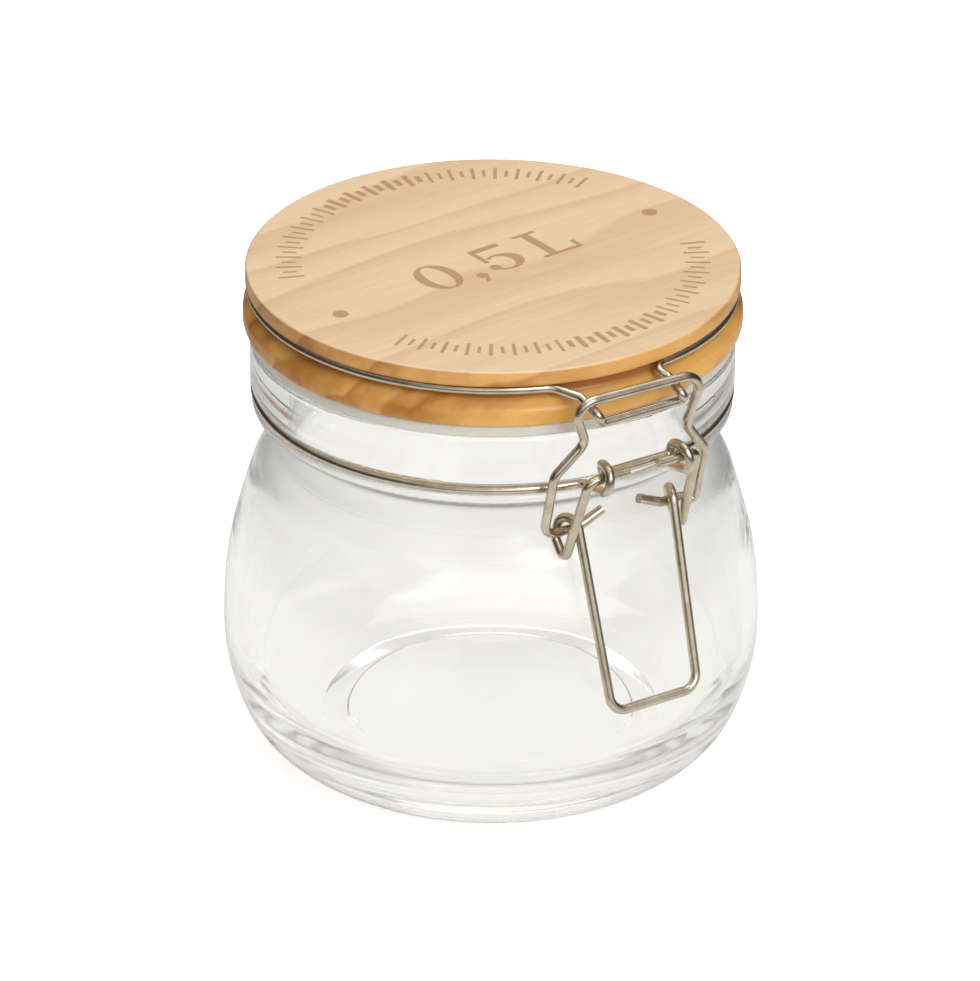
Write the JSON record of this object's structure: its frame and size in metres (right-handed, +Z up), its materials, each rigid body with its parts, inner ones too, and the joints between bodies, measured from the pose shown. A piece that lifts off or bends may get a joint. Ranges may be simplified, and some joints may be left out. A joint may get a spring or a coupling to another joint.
{
  "type": "clip-top storage jar",
  "caption": "Empty round-bellied clear glass storage jar with a turned wooden lid, a soft seal ring and a bent-wire clasp and hinge.",
  "frame": {"origin": "centre of the base, on the jar's axis, on the plane that the jar stands on", "axes": "+Z up along the jar's axis, -Y to the clasp, +Y to the lid's hinge, X along both hinge axes"},
  "size_m": [0.1054, 0.113, 0.1018],
  "materials": {
    "clear_glass": "clear, smooth and glossy",
    "wire_steel": "satin drawn wire",
    "pine_wood": "pale pine, clear lacquer on the turned edges",
    "soft_seal": "matt, slightly translucent"
  },
  "bodies": {
    "jar": {"glass_jar": "clear_glass", "neck_wire": "wire_steel"},
    "lid": {"wooden_lid": "pine_wood", "lid_gasket": "soft_seal", "lid_wire": "wire_steel"},
    "lever": {"lever_wire": "wire_steel"},
    "link": {"catch_link": "wire_steel"}
  },
  "joints": [
    {"name": "lid_hinge", "type": "hinge", "parent": "jar", "child": "lid", "pos_m": [0, 0.05118, 0.0875], "axis": [-1, 0, 0], "range_deg": [0, 105]},
    {"name": "lever_pivot", "type": "hinge", "parent": "jar", "child": "lever", "pos_m": [0, -0.0527, 0.0801], "axis": [-1, 0, 0], "range_deg": [0, 112]},
    {"name": "link_pivot", "type": "hinge", "parent": "lever", "child": "link", "pos_m": [0, -0.0451, 0.0667], "axis": [-1, 0, 0], "range_deg": [-135, 0]}
  ],
  "couplings": [
    {"joint": "link_pivot", "follows": "lever_pivot", "ratio": -1.2}
  ]
}
